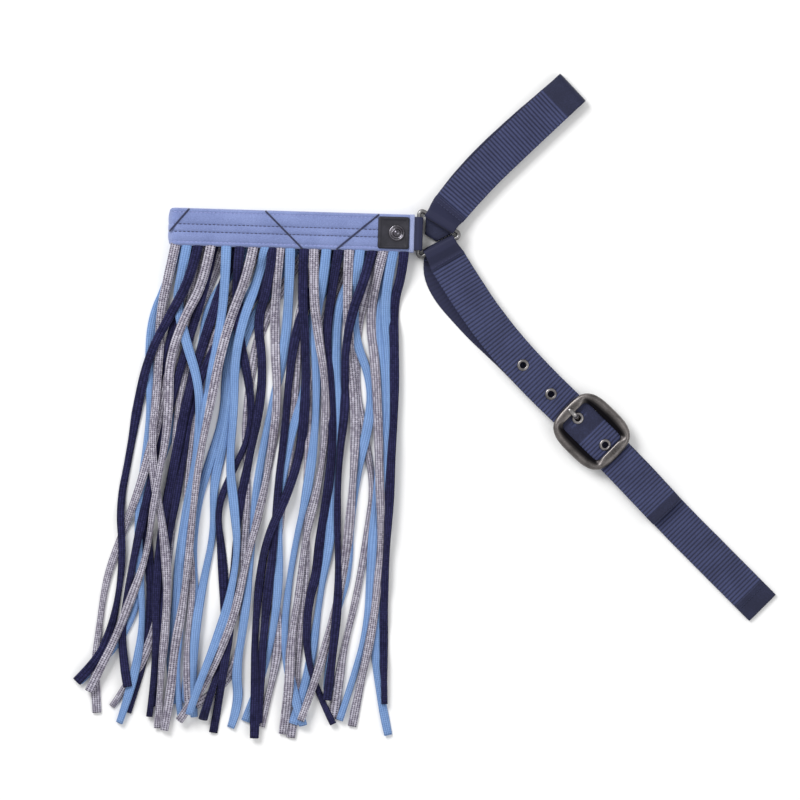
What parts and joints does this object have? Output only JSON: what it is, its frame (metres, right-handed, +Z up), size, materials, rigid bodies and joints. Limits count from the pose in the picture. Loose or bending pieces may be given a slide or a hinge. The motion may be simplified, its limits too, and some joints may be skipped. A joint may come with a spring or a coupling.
{
  "type": "fringed fly mask",
  "caption": "Fringed fly mask for a horse, folded flat: padded browband, triangular rings, poll strap, buckled throat strap and a fringe of laces.",
  "frame": {"origin": "centre of the underside of the folded mask, without its fringe", "axes": "+Z up through the two folded halves, +X from the browband's fold towards the throat strap's end"},
  "size_m": [0.562, 0.5316, 0.019],
  "materials": {
    "band_fabric": "woven pale periwinkle cloth over padding",
    "padding_foam": "soft pale foam, hidden inside the band",
    "navy_webbing": "ribbed navy webbing",
    "navy_piping": "thin navy corded piping",
    "badge_black": "moulded black patch with a raised border",
    "badge_metal": "polished domed stud",
    "ring_metal": "dull nickel wire",
    "eyelet_metal": "dull nickel eyelets",
    "buckle_metal": "gunmetal plated casting",
    "lace_grey": "knitted grey melange lace",
    "lace_blue": "knitted light blue lace",
    "lace_navy": "knitted navy lace"
  },
  "bodies": {
    "browband": {"band_cover": "band_fabric", "band_padding": "padding_foam", "near_end_loop": "navy_webbing", "far_end_loop": "navy_webbing", "badge_patch": "badge_black", "badge_stud": "badge_metal", "diagonal_piping": "navy_piping", "far_lace_01": "lace_blue", "far_lace_02": "lace_navy", "far_lace_03": "lace_grey", "far_lace_04": "lace_navy", "far_lace_05": "lace_grey", "far_lace_06": "lace_navy", "far_lace_07": "lace_blue", "far_lace_08": "lace_grey", "far_lace_09": "lace_blue", "far_lace_10": "lace_navy", "far_lace_11": "lace_blue", "far_lace_12": "lace_grey", "far_lace_13": "lace_grey", "far_lace_14": "lace_navy", "far_lace_15": "lace_blue", "far_lace_16": "lace_grey", "far_lace_17": "lace_blue", "far_lace_18": "lace_grey", "far_lace_19": "lace_blue", "near_lace_01": "lace_grey", "near_lace_02": "lace_blue", "near_lace_03": "lace_navy", "near_lace_04": "lace_grey", "near_lace_05": "lace_blue", "near_lace_06": "lace_navy", "near_lace_07": "lace_grey", "near_lace_08": "lace_blue", "near_lace_09": "lace_navy", "near_lace_10": "lace_grey", "near_lace_11": "lace_blue", "near_lace_12": "lace_navy", "near_lace_13": "lace_grey", "near_lace_14": "lace_blue", "near_lace_15": "lace_navy", "near_lace_16": "lace_grey", "near_lace_17": "lace_blue", "near_lace_18": "lace_navy", "near_lace_19": "lace_grey", "near_lace_20": "lace_blue", "near_lace_21": "lace_navy"},
    "near_ring": {"near_ring": "ring_metal"},
    "far_ring": {"far_ring": "ring_metal"},
    "crown_strap": {"crown_strap": "navy_webbing"},
    "throat_strap": {"throat_eyelet_strap": "navy_webbing", "eyelets": "eyelet_metal", "throat_buckle_strap": "navy_webbing"},
    "buckle": {"buckle_frame": "buckle_metal", "buckle_bar": "buckle_metal"},
    "buckle_prong": {"buckle_prong": "buckle_metal"}
  },
  "joints": [
    {"name": "near_ring_flap", "type": "hinge", "parent": "browband", "child": "near_ring", "pos_m": [-0.04274, 0.09064, 0.0124], "axis": [-0.0297, -0.9996, 0], "range_deg": [0, 6]},
    {"name": "far_ring_flap", "type": "hinge", "parent": "browband", "child": "far_ring", "pos_m": [-0.04274, 0.09064, 0.0035], "axis": [-0.0297, -0.9996, 0], "range_deg": [0, 6]},
    {"name": "crown_strap_flap", "type": "hinge", "parent": "near_ring", "child": "crown_strap", "pos_m": [-0.02513, 0.10012, 0.00795], "axis": [0.8508, -0.5255, 0], "range_deg": [0, 8]},
    {"name": "throat_strap_flap", "type": "hinge", "parent": "near_ring", "child": "throat_strap", "pos_m": [-0.02573, 0.08013, 0.00795], "axis": [-0.8805, -0.4741, 0], "range_deg": [0, 8]},
    {"name": "buckle_tilt", "type": "hinge", "parent": "throat_strap", "child": "buckle", "pos_m": [0.0952, -0.0672, 0.0052], "axis": [-0.7009, -0.7132, 0], "range_deg": [-1, 1]},
    {"name": "prong_swing", "type": "hinge", "parent": "buckle", "child": "buckle_prong", "pos_m": [0.0952, -0.0672, 0.0052], "axis": [0.7009, 0.7132, 0], "range_deg": [0, 1.2]}
  ],
  "couplings": [
    {"joint": "far_ring_flap", "follows": "near_ring_flap", "ratio": 1}
  ]
}
